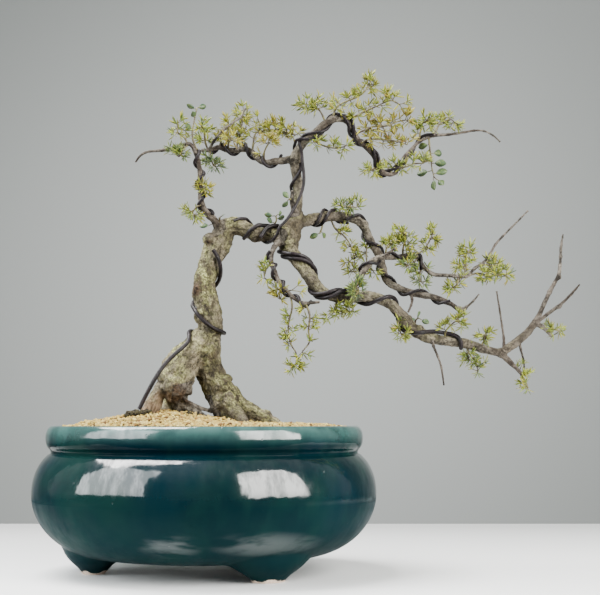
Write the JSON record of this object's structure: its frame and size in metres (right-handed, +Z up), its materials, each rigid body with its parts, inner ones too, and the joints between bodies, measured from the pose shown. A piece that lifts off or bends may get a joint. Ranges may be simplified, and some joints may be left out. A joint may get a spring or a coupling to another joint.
{
  "type": "operculicarya decaryi bonsai",
  "caption": "Trained small-leaved bonsai on two spread legs, its wired branches swept to one side, in a round teal-glazed pot on low feet",
  "frame": {"origin": "centre of the object's bounding box, on the plane that the pot's feet rest on", "axes": "+Z up; the picture is seen along +Y, so -Y is the front and +X is the side that the branches sweep to"},
  "size_m": [0.4322, 0.2686, 0.3915],
  "materials": {
    "teal_glaze": "gloss",
    "pale_grains": "matte",
    "grey_bark": "matte",
    "dark_wire": "satin",
    "leaf": "satin",
    "net_plastic": "matte"
  },
  "bodies": {
    "root": {"drain_mesh": "net_plastic", "leaves_between_arms": "leaf", "leaves_between_arms_right": "leaf", "leaves_crown_far_left": "leaf", "leaves_crown_inner": "leaf", "leaves_crown_low": "leaf", "leaves_crown_middle": "leaf", "leaves_crown_right": "leaf", "leaves_crown_round_leaves": "leaf", "leaves_crown_shoulder": "leaf", "leaves_crown_top": "leaf", "leaves_crown_top_right": "leaf", "leaves_crown_under": "leaf", "leaves_end_drop_leaves": "leaf", "leaves_far_left_lower": "leaf", "leaves_far_left_upper": "leaf", "leaves_far_tufts_right": "leaf", "leaves_far_tufts_tip": "leaf", "leaves_far_tufts_top": "leaf", "leaves_far_tufts_under": "leaf", "leaves_hanging_long": "leaf", "leaves_hanging_right": "leaf", "leaves_hanging_top": "leaf", "leaves_junction_leaves": "leaf", "leaves_left_hanging": "leaf", "leaves_left_pad_front": "leaf", "leaves_left_pad_grey": "leaf", "leaves_left_pad_middle": "leaf", "leaves_left_pad_near": "leaf", "leaves_left_pad_right": "leaf", "leaves_left_pad_tall": "leaf", "leaves_left_riser_low": "leaf", "leaves_left_tall_shoot": "leaf", "leaves_lower_arm_far": "leaf", "leaves_lower_arm_fringe": "leaf", "leaves_lower_arm_hanging": "leaf", "leaves_lower_arm_left": "leaf", "leaves_lower_arm_top": "leaf", "leaves_middle_heart": "leaf", "leaves_middle_low": "leaf", "leaves_middle_shoots": "leaf", "leaves_middle_shoots_left": "leaf", "leaves_middle_shoots_right": "leaf", "leaves_upper_arm_top": "leaf", "pot": "teal_glaze", "soil": "pale_grains", "tree": "grey_bark", "wire_crown": "dark_wire", "wire_crown_second": "dark_wire", "wire_hanging_branch": "dark_wire", "wire_left_arm": "dark_wire", "wire_left_riser": "dark_wire", "wire_lower_arm": "dark_wire", "wire_lower_arm_second": "dark_wire", "wire_middle_branch": "dark_wire", "wire_trunk": "dark_wire", "wire_upper_arm": "dark_wire", "wire_upper_arm_second": "dark_wire"}
  },
  "joints": []
}
